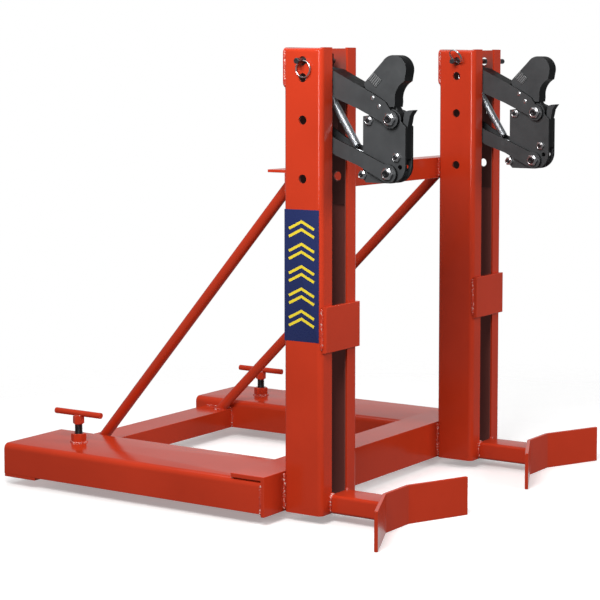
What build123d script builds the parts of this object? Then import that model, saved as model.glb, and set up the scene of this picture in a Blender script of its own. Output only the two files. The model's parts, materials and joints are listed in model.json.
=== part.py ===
from build123d import *
import os
from math import cos, radians, sin, sqrt

# Fork-mounted double drum gripper, in millimetres.
# +Z is up, -Y is the front (drum side), +Y the rear where the truck's forks enter, +X the right.
# The origin is the middle of the underside of the front cross angle's upright leg.

# ---- driving dimensions: frame ------------------------------------------------------------
MAST_SPACING = 684.0        # between the centre planes of the two masts and grippers
MAST_WIDTH = 148.0
MAST_DEPTH = 98.5
MAST_HEIGHT = 1016.0
MAST_WALL = 6.35
MAST_BEND = 12.0            # outer bend radius of the lipped channel
SLOT_WIDTH = 62.0           # gap between the mast's lips
CORNER_R = 12.0             # rounded upper corners of the mast and its top plate
TOP_HOLE = 987.0            # height of the pinned hole
PITCH = 127.0               # between the height holes
ACCESS_HOLE = 951.0         # lines up with the upper rear pivot bolt
HOLE_R = 10.0
HOLE_SETBACK = 48.6         # of every hole behind the mast's front

TOP_PLATE_HEIGHT = 87.0
TOP_PLATE_WALL = 4.5
TOP_PLATE_INSET = 5.0       # of each side from the mast's side
COLLAR_BASE = 358.0
COLLAR_HEIGHT = 100.0
COLLAR_WIDTH = 138.0
COLLAR_WALL = 9.5

ANGLE_LEG = 88.9            # front cross angle
ANGLE_WALL = 9.5
SMALL_LEG = 50.8            # upper cross angle, and the rear one's upright leg
REAR_ANGLE_SHELF = 88.9     # the rear cross angle's level leg
SMALL_WALL = 6.35
REAR_ANGLE_SETBACK = 632.5  # behind the masts
UPPER_ANGLE_TOP = 750.4
UPPER_ANGLE_OVERHANG = 60.0  # past the mast's centre plane

BASE_WIDTH = 983.0          # over the outer faces of the fork sleeves
SLEEVE_WIDTH = 219.0
SLEEVE_LENGTH = 753.0
SLEEVE_WALL = 6.35
SLEEVE_BEND = 14.0
STRAP_LENGTH = 95.0
STRAP_WALL = 6.35

ARM_TUBE_WIDTH = 74.0       # support arm of the belly plate
ARM_TUBE_HEIGHT = 41.5
ARM_TUBE_WALL = 5.0
BELLY_REACH = 148.5         # from the mast's front to the belly plate's flat middle
BELLY_FLAT = 96.0
BELLY_WIDTH = 387.0
BELLY_WING_DEPTH = 67.5
BELLY_WALL = 8.0
BELLY_BASE = -20.0
BELLY_HEIGHT = 86.0

STRUT_FOOT_X = 249.6
STRUT_FOOT_SETBACK = 21.5   # behind the rear angle's front face
STRUT_HEAD_DROP = 7.0       # below the upper angle's top
STRUT_OVERRUN = 60.0        # of the uncut tube past each end
STRUT_R = 12.7
STRUT_WALL = 3.0

GAP = 0.3                   # between pieces of different bodies
RUNNING = 0.05              # radial clearance of pins in their bores

# ---- planes and levels of the frame -------------------------------------------------------
MAST_X = MAST_SPACING / 2
MAST_REAR = -ANGLE_WALL / 2
MAST_FRONT = MAST_REAR - MAST_DEPTH
HOLE_Y = MAST_FRONT + HOLE_SETBACK
SLEEVE_X = BASE_WIDTH / 2 - SLEEVE_WIDTH / 2
SLEEVE_INNER = BASE_WIDTH / 2 - SLEEVE_WIDTH
SLEEVE_TOP = ANGLE_LEG - ANGLE_WALL
SLEEVE_FRONT = MAST_REAR + ANGLE_WALL
SLEEVE_REAR = MAST_REAR + SLEEVE_LENGTH
REAR_ANGLE_Y = MAST_REAR + REAR_ANGLE_SETBACK
REAR_ANGLE_TOP = STRAP_WALL + SMALL_LEG
SIDES = (("left", -1), ("right", 1))

# ---- driving dimensions: grippers ---------------------------------------------------------
# Pivots of the parallel-arm linkage, as (Y, Z). The lower rear one closes the parallelogram.
UPPER_REAR = (HOLE_Y, ACCESS_HOLE)
UPPER_FRONT = (MAST_FRONT - 141.5, 863.5)
LOWER_FRONT = (MAST_FRONT - 137.0, 748.0)
LOWER_REAR = (
    UPPER_REAR[0] + LOWER_FRONT[0] - UPPER_FRONT[0],
    UPPER_REAR[1] + LOWER_FRONT[1] - UPPER_FRONT[1],
)
PIVOT_R = 8.0
OPEN_PIVOT_R = 9.0          # bore of the one pivot where the linkage is left open
ARM_HALF = 26.5             # half the width over an arm's two cheeks
ARM_WALL = 6.0
HEAD_HALF = 17.0            # half the width over the head's side plates
HEAD_WALL = 7.5
JAW_HALF = HEAD_HALF - HEAD_WALL
BEAK_HALF = 18.0
BEAK_CORE = JAW_HALF - GAP
HUB_R = 20.0                # beak hub between the head plates
NUT_FLATS = 24.0
NUT_HEIGHT = 10.0
BEAK_PINS = ((MAST_FRONT - 98.5, 908.0), (MAST_FRONT - 114.5, 890.0))
BEAK_PIN_R = 5.0
HEAD_BOLTS = ((MAST_FRONT - 84.5, 860.0), (MAST_FRONT - 69.0, 743.5), (MAST_FRONT - 153.0, 783.0))
HEAD_BOLT_R = 5.0
HEAD_BOLT_FLATS = 17.0
HEAD_BOLT_HEIGHT = 8.0
SPACER_R = 9.0

CARRIAGE_HALF = 67.0        # half the width over the carriage's guide walls
CARRIAGE_WALL = 6.0
CARRIAGE_BASE = 671.0
CARRIAGE_TOP = 966.0
LUG_TOP = 1003.0
LUG_INNER = ARM_HALF + 1.5
LUG_WALL = 10.0
WINDOW_R = 13.0             # clearance holes in the guide walls
GUIDE_CLEARANCE = 5.0       # between the guide walls and the mast's lips
CARRIAGE_PLAY = 0.6         # between the carriage and the mast's rear wall

ANCHOR = (MAST_FRONT - 55.0, 787.4)     # spring anchor pin in the lower arm
ANCHOR_R = 3.5
SPRING_R = 9.0
SPRING_WIRE = 2.4
EYE_PLAY = 1.7              # between a spring eye and what it hooks over
COIL_START = 26.0           # from the upper pivot along the spring
COIL_STOP = 20.0            # from the anchor pin back along the spring
spring_dy = ANCHOR[0] - UPPER_REAR[0]
spring_dz = ANCHOR[1] - UPPER_REAR[1]
SPRING_SPAN = sqrt(spring_dy**2 + spring_dz**2)
SPRING_DIR = Vector(0, spring_dy / SPRING_SPAN, spring_dz / SPRING_SPAN)

PIN_R = 6.35
RING_SETBACK = 5.0          # of the ring's cross hole from the mast's wall
RING_R = 17.8
RING_WIRE = 2.3
RING_HOLE_R = 3.2
PIN_OUT = 25.0              # of the pin's head end from the mast's side
# Per side: the pin's length, the ring's lean about the pin from hanging straight down, and
# its tilt out from the mast's side.
PIN_PLACES = {"left": (150.0, 16.0, 0.0), "right": (270.0, 152.0, 40.0)}

# ---- driving dimensions: fork clamps ------------------------------------------------------
SCREW_SETBACK = 613.5       # behind the masts
STEM_R = 9.5
WELD_NUT_FLATS = 31.75
WELD_NUT_HEIGHT = 21.5
STEM_EXPOSED = 20.5
SCREW_HEAD_FLATS = 23.8
SCREW_HEAD_HEIGHT = 22.0
BAR_R = 7.1
BAR_LENGTH = 140.0
BAR_SEAT = 1.2              # depth of the bar's welded seat in the screw head
PAD_R = 20.0
PAD_HEIGHT = 9.0
TIP_R = 6.5
TIP_LENGTH = 5.0
SCREW_Y = MAST_REAR + SCREW_SETBACK
NUT_TOP = SLEEVE_TOP + WELD_NUT_HEIGHT
SCREW_HEAD_BASE = NUT_TOP + STEM_EXPOSED
SCREW_HEAD_TOP = SCREW_HEAD_BASE + SCREW_HEAD_HEIGHT
BAR_Z = SCREW_HEAD_TOP + BAR_R - BAR_SEAT
PAD_TOP = SLEEVE_TOP - SLEEVE_WALL - 4.0

os.makedirs("parts", exist_ok=True)


def rear_of(y):
    """Upright plane across the object at depth y: x is +X, y is +Z, and -amount runs rearwards."""
    return Plane.XZ.offset(-y)


def side_of(x):
    """Upright plane along the object: x is +Y, y is +Z, and extrusions run towards +X."""
    return Plane.YZ.offset(x)


def from_front(*points):
    """Turns (distance in front of the mast, height) pairs into (Y, Z)."""
    return [(MAST_FRONT - ahead, height) for ahead, height in points]


# ---- outlines of the gripper's plates, in the YZ plane ------------------------------------
with BuildSketch() as upper_cheek:
    with BuildLine():
        Polyline(
            *from_front((-48.6, 977.0), (-5, 968.5), (5.6, 963), (101, 916.5), (117, 907.5), (130, 899.5),
                        (143.5, 881), (158, 868), (158, 855), (149, 845), (135, 845), (121, 857.5),
                        (60.6, 885.4), (7.6, 906.5), (-20, 922), (-48.6, 927)),
            close=True,
        )
    make_face()
    with Locations(UPPER_REAR):
        Circle(26)
    with Locations(UPPER_FRONT):
        Circle(19)
    fillet(upper_cheek.vertices().sort_by_distance((MAST_FRONT - 137, 899, 0))[0], 8)
    with Locations(UPPER_REAR):
        Circle(PIVOT_R + RUNNING, mode=Mode.SUBTRACT)
    with Locations(UPPER_FRONT):
        Circle(PIVOT_R, mode=Mode.SUBTRACT)

with BuildSketch() as lower_cheek:
    with BuildLine():
        Polyline(
            *from_front((-53, 854), (-25, 838), (5.6, 819.5), (76.6, 790.4), (128, 768), (143, 767),
                        (156, 752), (153, 736), (141, 729), (127, 731), (60.6, 764.4), (7.6, 783),
                        (-30, 806), (-50, 815)),
            close=True,
        )
    make_face()
    with Locations(LOWER_REAR):
        Circle(21)
    with Locations(LOWER_FRONT):
        Circle(19.5)
    with Locations(LOWER_REAR):
        Circle(PIVOT_R + RUNNING, mode=Mode.SUBTRACT)
    with Locations(LOWER_FRONT):
        Circle(OPEN_PIVOT_R, mode=Mode.SUBTRACT)
    with Locations(ANCHOR):
        Circle(ANCHOR_R, mode=Mode.SUBTRACT)

with BuildSketch() as head_plate:
    with BuildLine():
        Polyline(
            *from_front((69, 869), (121, 876), (155, 866), (174, 848), (174, 727), (77, 727), (69, 735)),
            close=True,
        )
    make_face()
    with Locations(UPPER_FRONT):
        Circle(21)
    fillet(head_plate.vertices().sort_by_distance((MAST_FRONT - 174, 727, 0))[0], 38)
    with Locations(UPPER_FRONT):
        Circle(PIVOT_R + RUNNING, mode=Mode.SUBTRACT)
    with Locations(LOWER_FRONT):
        Circle(PIVOT_R, mode=Mode.SUBTRACT)
    with Locations(*HEAD_BOLTS):
        Circle(HEAD_BOLT_R, mode=Mode.SUBTRACT)
    with Locations((MAST_FRONT - 161, 762)):
        Circle(5, mode=Mode.SUBTRACT)

NOSE = (MAST_FRONT - 143.5, 967.5)
NOSE_R = 31.5
THROAT = (MAST_FRONT - 189.0, 907.0)    # centre of the round jaw opening below the nose
THROAT_R = 41.0
with BuildSketch() as beak_side:
    with BuildLine():
        Polyline(
            *from_front((71.5, 939.5), (124, 992)), NOSE,
            *from_front((174, 960), (171, 944), (149, 905), (147, 888), (153, 879), (159, 868)),
            UPPER_FRONT, *from_front((121, 872), (105, 879), (83, 905)),
            close=True,
        )
    make_face()
    with Locations(NOSE):
        Circle(NOSE_R)
    with Locations(THROAT):
        Circle(THROAT_R, mode=Mode.SUBTRACT)

with BuildSketch() as beak_core_side:
    add(beak_side.sketch)
    with Locations(UPPER_FRONT):
        Circle(HUB_R)
        Circle(PIVOT_R, mode=Mode.SUBTRACT)
    with Locations(*BEAK_PINS):
        Circle(BEAK_PIN_R, mode=Mode.SUBTRACT)

CHEEK_CLEARANCE_R = 26.0    # the beak's outer cheeks stay outside this circle about the pivot
with BuildSketch() as beak_cheek_side:
    add(beak_side.sketch)
    with Locations(UPPER_FRONT):
        Circle(CHEEK_CLEARANCE_R, mode=Mode.SUBTRACT)
    with Locations((MAST_FRONT, 0)):
        Rectangle(400, 881, align=(Align.CENTER, Align.MIN), mode=Mode.SUBTRACT)
    with Locations(*BEAK_PINS):
        Circle(BEAK_PIN_R, mode=Mode.SUBTRACT)

with BuildSketch() as jaw_side:
    with BuildLine():
        Polyline(
            *from_front((174, 845), (177, 856), (180, 871), (189, 883.5), (177.5, 882.5), (167.5, 880),
                        (164.5, 868), (164, 852), (145, 836), (143, 800), (143, 773), (165, 773),
                        (174, 780)),
            close=True,
        )
    make_face()
    with Locations(UPPER_FRONT):
        Circle(HUB_R + 3.0, mode=Mode.SUBTRACT)
    with Locations(HEAD_BOLTS[2]):
        Circle(HEAD_BOLT_R, mode=Mode.SUBTRACT)

with BuildSketch() as carriage_lug:
    with BuildLine():
        Polyline(
            *from_front((-24, 806), (-24, 946), (-40.5, 972), (-40.5, LUG_TOP), (-86, LUG_TOP), (-86, 790),
                        (-40, 790)),
            close=True,
        )
    make_face()
    with Locations(UPPER_REAR, LOWER_REAR):
        Circle(PIVOT_R, mode=Mode.SUBTRACT)
    with Locations((HOLE_Y, TOP_HOLE)):
        Circle(PIN_R + RUNNING, mode=Mode.SUBTRACT)

# ---- cross angles -------------------------------------------------------------------------
with BuildPart() as front_angle:
    with BuildSketch(side_of(-BASE_WIDTH / 2)):
        with Locations((MAST_REAR, 0)):
            Rectangle(ANGLE_WALL, ANGLE_LEG, align=(Align.MIN, Align.MIN))
        with Locations((MAST_REAR, SLEEVE_TOP)):
            Rectangle(ANGLE_LEG, ANGLE_WALL, align=(Align.MIN, Align.MIN))
    extrude(amount=BASE_WIDTH)
front_angle.part.label = "front_cross_angle"
export_step(front_angle.part, "parts/front_cross_angle.step")

with BuildPart() as rear_angle:
    with BuildSketch(side_of(-SLEEVE_INNER)):
        with Locations((REAR_ANGLE_Y, REAR_ANGLE_TOP)):
            Rectangle(SMALL_WALL, SMALL_LEG, align=(Align.MIN, Align.MAX))
            Rectangle(REAR_ANGLE_SHELF, SMALL_WALL, align=(Align.MIN, Align.MAX))
    extrude(amount=2 * SLEEVE_INNER)
rear_angle.part.label = "rear_cross_angle"
export_step(rear_angle.part, "parts/rear_cross_angle.step")

UPPER_ANGLE_HALF = MAST_X + UPPER_ANGLE_OVERHANG
with BuildPart() as upper_angle:
    with BuildSketch(side_of(-UPPER_ANGLE_HALF)):
        with Locations((MAST_REAR, UPPER_ANGLE_TOP)):
            Rectangle(SMALL_WALL, SMALL_LEG, align=(Align.MIN, Align.MAX))
            Rectangle(SMALL_LEG, SMALL_WALL, align=(Align.MIN, Align.MAX))
    extrude(amount=2 * UPPER_ANGLE_HALF)
upper_angle.part.label = "upper_cross_angle"
export_step(upper_angle.part, "parts/upper_cross_angle.step")

for side, sign in SIDES:
    mast_x = sign * MAST_X
    sleeve_x = sign * SLEEVE_X

    # ---- welded frame ---------------------------------------------------------------------
    # Lipped channel mast, open to the front, with height holes through both side walls. The
    # left mast's top hole is in its outer wall only.
    with BuildPart() as mast:
        with BuildSketch():
            with Locations((mast_x, (MAST_FRONT + MAST_REAR) / 2)):
                RectangleRounded(MAST_WIDTH, MAST_DEPTH, MAST_BEND)
                RectangleRounded(
                    MAST_WIDTH - 2 * MAST_WALL,
                    MAST_DEPTH - 2 * MAST_WALL,
                    MAST_BEND - MAST_WALL,
                    mode=Mode.SUBTRACT,
                )
            with Locations((mast_x, MAST_FRONT)):
                Rectangle(SLOT_WIDTH, 3 * MAST_WALL, mode=Mode.SUBTRACT)
        extrude(amount=MAST_HEIGHT)
        with BuildSketch(side_of(mast_x - MAST_WIDTH)):
            with Locations(
                (HOLE_Y, ACCESS_HOLE),
                (HOLE_Y, TOP_HOLE - PITCH),
                (HOLE_Y, TOP_HOLE - 2 * PITCH),
            ):
                Circle(HOLE_R)
        extrude(amount=2 * MAST_WIDTH, mode=Mode.SUBTRACT)
        with BuildSketch(side_of(mast_x - MAST_WIDTH)):
            with Locations((HOLE_Y, TOP_HOLE)):
                Circle(HOLE_R)
        extrude(amount=MAST_WIDTH * (1 if side == "left" else 2), mode=Mode.SUBTRACT)
        with BuildSketch(rear_of(MAST_FRONT)):
            with Locations((mast_x, 0)):
                RectangleRounded(MAST_WIDTH, 2 * MAST_HEIGHT, CORNER_R)
        extrude(amount=-MAST_DEPTH, mode=Mode.INTERSECT)
    mast.part.label = f"{side}_mast"
    export_step(mast.part, f"parts/{side}_mast.step")

    # Flat plate that stiffens the mast's rear face at the top.
    with BuildPart() as top_plate:
        with BuildSketch(rear_of(MAST_REAR)):
            with Locations((mast_x, MAST_HEIGHT - TOP_PLATE_HEIGHT / 2)):
                RectangleRounded(MAST_WIDTH - 2 * TOP_PLATE_INSET, TOP_PLATE_HEIGHT, CORNER_R)
        extrude(amount=-TOP_PLATE_WALL)
    top_plate.part.label = f"{side}_mast_top_plate"
    export_step(top_plate.part, f"parts/{side}_mast_top_plate.step")

    # Collar plate that ties the mast's two lips together.
    with BuildPart() as collar:
        with BuildSketch(rear_of(MAST_FRONT)):
            with Locations((mast_x, COLLAR_BASE + COLLAR_HEIGHT / 2)):
                Rectangle(COLLAR_WIDTH, COLLAR_HEIGHT)
        extrude(amount=COLLAR_WALL)
        chamfer(collar.faces().sort_by(Axis.Y)[0].edges(), 0.8)
    collar.part.label = f"{side}_collar_plate"
    export_step(collar.part, f"parts/{side}_collar_plate.step")

    # Fork sleeve: an inverted channel bent from plate, with a hole for the clamp screw.
    with BuildPart() as sleeve:
        with BuildSketch(rear_of(SLEEVE_FRONT)) as outer_profile:
            with Locations((sleeve_x, STRAP_WALL)):
                Rectangle(SLEEVE_WIDTH, SLEEVE_TOP - STRAP_WALL, align=(Align.CENTER, Align.MIN))
            fillet(outer_profile.vertices().group_by(Axis.Y)[-1], SLEEVE_BEND)
        extrude(amount=SLEEVE_FRONT - SLEEVE_REAR)
        with BuildSketch(rear_of(SLEEVE_FRONT)) as inner_profile:
            with Locations((sleeve_x, 0)):
                Rectangle(
                    SLEEVE_WIDTH - 2 * SLEEVE_WALL,
                    SLEEVE_TOP - SLEEVE_WALL,
                    align=(Align.CENTER, Align.MIN),
                )
            fillet(inner_profile.vertices().group_by(Axis.Y)[-1], SLEEVE_BEND - SLEEVE_WALL)
        extrude(amount=SLEEVE_FRONT - SLEEVE_REAR, mode=Mode.SUBTRACT)
        with Locations((sleeve_x, SCREW_Y, SLEEVE_TOP)):
            Hole(STEM_R + 1.0, depth=2 * SLEEVE_WALL)
    sleeve.part.label = f"{side}_fork_sleeve"
    export_step(sleeve.part, f"parts/{side}_fork_sleeve.step")

    # Strap that closes the underside of the sleeve at its mouth.
    with BuildPart() as strap:
        with BuildSketch():
            with Locations((sleeve_x, SLEEVE_REAR)):
                Rectangle(SLEEVE_WIDTH, STRAP_LENGTH, align=(Align.CENTER, Align.MAX))
        extrude(amount=STRAP_WALL)
        fillet(strap.edges().filter_by(Axis.Z), 3)
    strap.part.label = f"{side}_sleeve_strap"
    export_step(strap.part, f"parts/{side}_sleeve_strap.step")

    # Rectangular tube that carries the belly plate.
    with BuildPart() as support_arm:
        with BuildSketch(rear_of(MAST_FRONT)):
            with Locations((mast_x, ARM_TUBE_HEIGHT / 2)):
                RectangleRounded(ARM_TUBE_WIDTH, ARM_TUBE_HEIGHT, 7)
                RectangleRounded(
                    ARM_TUBE_WIDTH - 2 * ARM_TUBE_WALL,
                    ARM_TUBE_HEIGHT - 2 * ARM_TUBE_WALL,
                    2,
                    mode=Mode.SUBTRACT,
                )
        extrude(amount=BELLY_REACH - BELLY_WALL)
    support_arm.part.label = f"{side}_support_arm"
    export_step(support_arm.part, f"parts/{side}_support_arm.step")

    # V-shaped belly plate, bent from flat bar.
    belly_y = MAST_FRONT - BELLY_REACH
    wing_run = (BELLY_WIDTH - BELLY_FLAT) / 2
    wing_length = sqrt(wing_run**2 + BELLY_WING_DEPTH**2)
    lean_sin = BELLY_WING_DEPTH / wing_length
    lean_cos = wing_run / wing_length
    rear_bend = BELLY_WALL * (1 - lean_cos) / lean_sin
    half_front = (
        (BELLY_FLAT / 2, belly_y),
        (BELLY_WIDTH / 2, belly_y - BELLY_WING_DEPTH),
    )
    half_rear = (
        (BELLY_WIDTH / 2 + BELLY_WALL * lean_sin, belly_y - BELLY_WING_DEPTH + BELLY_WALL * lean_cos),
        (BELLY_FLAT / 2 + rear_bend, belly_y + BELLY_WALL),
    )
    right_half = half_front + half_rear
    left_half = tuple((-x, y) for x, y in reversed(right_half))
    with BuildPart() as belly_plate:
        with BuildSketch(Plane.XY.offset(BELLY_BASE)):
            with BuildLine():
                Polyline(*[(mast_x + x, y) for x, y in right_half + left_half], close=True)
            make_face()
        extrude(amount=BELLY_HEIGHT)
        fillet(belly_plate.edges().filter_by(Axis.Z).sort_by_distance((mast_x, belly_y, 0))[:2], 10)
    belly_plate.part.label = f"{side}_belly_plate"
    export_step(belly_plate.part, f"parts/{side}_belly_plate.step")

    # Brace strut from the rear cross angle up to the mast, saddle-cut at both ends.
    strut_foot = Vector(sign * STRUT_FOOT_X, REAR_ANGLE_Y + STRUT_FOOT_SETBACK, REAR_ANGLE_TOP)
    strut_head = Vector(mast_x, MAST_REAR + SMALL_WALL, UPPER_ANGLE_TOP - STRUT_HEAD_DROP)
    strut_way = (strut_head - strut_foot).normalized()
    strut_plane = Plane(origin=strut_foot - strut_way * STRUT_OVERRUN, z_dir=strut_way)
    with BuildPart() as strut:
        with BuildSketch(strut_plane):
            Circle(STRUT_R)
            Circle(STRUT_R - STRUT_WALL, mode=Mode.SUBTRACT)
        extrude(amount=(strut_head - strut_foot).length + 2 * STRUT_OVERRUN)
        split(bisect_by=Plane.XY.offset(REAR_ANGLE_TOP - 22), keep=Keep.TOP)
        with Locations((0, REAR_ANGLE_Y, REAR_ANGLE_TOP)):
            Box(
                2 * SLEEVE_INNER, REAR_ANGLE_SHELF, SMALL_LEG,
                align=(Align.CENTER, Align.MIN, Align.MAX), mode=Mode.SUBTRACT,
            )
        split(bisect_by=Plane.XZ.offset(-MAST_REAR - SMALL_WALL), keep=Keep.BOTTOM)
        split(bisect_by=Plane.XY.offset(UPPER_ANGLE_TOP - SMALL_WALL), keep=Keep.BOTTOM)
    strut.part.label = f"{side}_brace_strut"
    export_step(strut.part, f"parts/{side}_brace_strut.step")

    # ---- fork clamp -----------------------------------------------------------------------
    with BuildPart() as clamp_nut:
        with BuildSketch(Plane.XY.offset(SLEEVE_TOP)):
            with Locations((sleeve_x, SCREW_Y)):
                RegularPolygon(WELD_NUT_FLATS / 2, 6, major_radius=False)
                Circle(STEM_R + RUNNING, mode=Mode.SUBTRACT)
        extrude(amount=WELD_NUT_HEIGHT)
        chamfer(clamp_nut.edges().filter_by(GeomType.CIRCLE), 0.8)
    clamp_nut.part.label = f"{side}_clamp_nut"
    export_step(clamp_nut.part, f"parts/{side}_clamp_nut.step")

    # Threaded stem with its turned tip and hex head; the head's top has a seat for the bar.
    with BuildPart() as clamp_screw:
        with Locations((sleeve_x, SCREW_Y, PAD_TOP + GAP)):
            Cylinder(STEM_R, SCREW_HEAD_BASE - PAD_TOP - GAP, align=(Align.CENTER, Align.CENTER, Align.MIN))
        with Locations((sleeve_x, SCREW_Y, PAD_TOP + GAP)):
            Cylinder(TIP_R, TIP_LENGTH, align=(Align.CENTER, Align.CENTER, Align.MAX))
        with BuildSketch(Plane.XY.offset(SCREW_HEAD_BASE)):
            with Locations((sleeve_x, SCREW_Y)):
                RegularPolygon(SCREW_HEAD_FLATS / 2, 6, major_radius=False)
        extrude(amount=SCREW_HEAD_HEIGHT)
        with Locations((sleeve_x, SCREW_Y, BAR_Z)):
            Cylinder(BAR_R, BAR_LENGTH, rotation=(90, 0, 0), mode=Mode.SUBTRACT)
    clamp_screw.part.label = f"{side}_clamp_screw"
    export_step(clamp_screw.part, f"parts/{side}_clamp_screw.step")

    with BuildPart() as clamp_bar:
        with Locations((sleeve_x, SCREW_Y, BAR_Z)):
            Cylinder(BAR_R, BAR_LENGTH, rotation=(90, 0, 0))
        chamfer(clamp_bar.edges().filter_by(GeomType.CIRCLE), 0.8)
    clamp_bar.part.label = f"{side}_clamp_bar"
    export_step(clamp_bar.part, f"parts/{side}_clamp_bar.step")

    # Swivel pad under the screw's tip, which presses on the fork.
    with BuildPart() as clamp_pad:
        with Locations((sleeve_x, SCREW_Y, PAD_TOP)):
            Cylinder(PAD_R, PAD_HEIGHT, align=(Align.CENTER, Align.CENTER, Align.MAX))
            Cylinder(
                TIP_R + RUNNING, TIP_LENGTH + GAP,
                align=(Align.CENTER, Align.CENTER, Align.MAX), mode=Mode.SUBTRACT,
            )
        chamfer(clamp_pad.edges().filter_by(GeomType.CIRCLE).sort_by(Axis.Z)[0], 1.5)
    clamp_pad.part.label = f"{side}_clamp_pad"
    export_step(clamp_pad.part, f"parts/{side}_clamp_pad.step")

    # ---- carriage and its pins ------------------------------------------------------------
    # Channel that slides in the mast, with two lugs that hold the arms' rear pivots.
    carriage_rear = MAST_REAR - MAST_WALL - CARRIAGE_PLAY
    with BuildPart() as carriage:
        for half_width, top in ((CARRIAGE_HALF, CARRIAGE_TOP), (LUG_INNER + LUG_WALL, LUG_TOP)):
            with Locations((mast_x, carriage_rear, CARRIAGE_BASE)):
                Box(
                    2 * half_width, CARRIAGE_WALL, top - CARRIAGE_BASE,
                    align=(Align.CENTER, Align.MAX, Align.MIN),
                )
        for wall_x in (-CARRIAGE_HALF, CARRIAGE_HALF - CARRIAGE_WALL):
            with BuildSketch(side_of(mast_x + wall_x)):
                with Locations((carriage_rear, CARRIAGE_BASE)):
                    Rectangle(
                        carriage_rear - MAST_FRONT - MAST_WALL - GUIDE_CLEARANCE, CARRIAGE_TOP - CARRIAGE_BASE,
                        align=(Align.MAX, Align.MIN),
                    )
                with Locations(
                    (HOLE_Y, ACCESS_HOLE),
                    (HOLE_Y, TOP_HOLE - PITCH),
                    (HOLE_Y, TOP_HOLE - 2 * PITCH),
                ):
                    Circle(WINDOW_R, mode=Mode.SUBTRACT)
            extrude(amount=CARRIAGE_WALL)
        for lug_x in (-LUG_INNER - LUG_WALL, LUG_INNER):
            with BuildSketch(side_of(mast_x + lug_x)):
                add(carriage_lug.sketch)
            extrude(amount=LUG_WALL)
        outer_corners = carriage.edges().filter_by(Axis.Z).group_by(Axis.Y)[-1].filter_by(
            lambda edge: abs(edge.center().X - mast_x) > CARRIAGE_HALF - 1
        )
        chamfer(outer_corners, 6)
    carriage.part.label = f"{side}_carriage"
    export_step(carriage.part, f"parts/{side}_carriage.step")

    # Rear pivot bolts of the two arms: a plain shank with a hex head and a nut outside the lugs.
    lug_outer = LUG_INNER + LUG_WALL
    with BuildPart() as rear_bolts:
        for pivot in (UPPER_REAR, LOWER_REAR):
            with BuildSketch(side_of(mast_x - lug_outer)):
                with Locations(pivot):
                    Circle(PIVOT_R)
            extrude(amount=2 * lug_outer)
            for face_x in (-lug_outer - NUT_HEIGHT, lug_outer):
                with BuildSketch(side_of(mast_x + face_x)):
                    with Locations(pivot):
                        RegularPolygon(NUT_FLATS / 2, 6, major_radius=False)
                extrude(amount=NUT_HEIGHT)
    rear_bolts.part.label = f"{side}_rear_pivot_bolts"
    export_step(rear_bolts.part, f"parts/{side}_rear_pivot_bolts.step")

    # Detent pin through the mast and the carriage's lugs, with a cross hole for its ring.
    pin_length, ring_lean, ring_tilt = PIN_PLACES[side]
    pin_start = mast_x - MAST_WIDTH / 2 - PIN_OUT
    ring_x = mast_x - MAST_WIDTH / 2 - RING_SETBACK
    hang_sin, hang_cos = sin(radians(ring_lean)), cos(radians(ring_lean))
    tilt_sin, tilt_cos = sin(radians(ring_tilt)), cos(radians(ring_tilt))
    ring_plane = Plane(
        origin=(ring_x, HOLE_Y, TOP_HOLE),
        x_dir=(0, hang_cos, -hang_sin),
        z_dir=(tilt_cos, -tilt_sin * hang_sin, -tilt_sin * hang_cos),
    )
    with BuildPart() as detent_pin:
        with BuildSketch(side_of(pin_start)):
            with Locations((HOLE_Y, TOP_HOLE)):
                Circle(PIN_R)
        extrude(amount=pin_length)
        chamfer(detent_pin.edges().sort_by(Axis.X)[-1], 2.5)
        chamfer(detent_pin.edges().sort_by(Axis.X)[0], 0.8)
        with BuildSketch(Plane(origin=ring_plane.origin, z_dir=ring_plane.x_dir)):
            Circle(RING_HOLE_R)
        extrude(amount=PIN_R + 1, both=True, mode=Mode.SUBTRACT)
    detent_pin.part.label = f"{side}_detent_pin"
    export_step(detent_pin.part, f"parts/{side}_detent_pin.step")

    # Ring through the pin's cross hole; it lies flat along the mast's side.
    ring_centre = ring_plane.from_local_coords((0, -RING_R, 0))
    with BuildPart() as pin_ring:
        with BuildSketch(Plane(origin=ring_centre, x_dir=ring_plane.x_dir, z_dir=ring_plane.y_dir)):
            with Locations((RING_R, 0)):
                Circle(RING_WIRE)
        revolve(axis=Axis(ring_centre, ring_plane.z_dir))
    pin_ring.part.label = f"{side}_pin_ring"
    export_step(pin_ring.part, f"parts/{side}_pin_ring.step")

    # ---- arms -----------------------------------------------------------------------------
    # Upper arm: two cheeks under a top web, all one bent channel.
    with BuildPart() as upper_arm:
        for cheek_x in (-ARM_HALF, ARM_HALF - ARM_WALL):
            with BuildSketch(side_of(mast_x + cheek_x)):
                add(upper_cheek.sketch)
                with Locations(*BEAK_PINS):
                    Circle(BEAK_PIN_R, mode=Mode.SUBTRACT)
            extrude(amount=ARM_WALL)
        with BuildSketch(side_of(mast_x - ARM_HALF)):
            with BuildLine():
                Polyline(
                    *from_front((-5, 968.5), (5.6, 963), (69, 932.1), (69, 925.5), (5.6, 956.4), (-5, 961.6)),
                    close=True,
                )
            make_face()
        extrude(amount=2 * ARM_HALF)
    upper_arm.part.label = f"{side}_upper_arm"
    export_step(upper_arm.part, f"parts/{side}_upper_arm.step")

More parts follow.
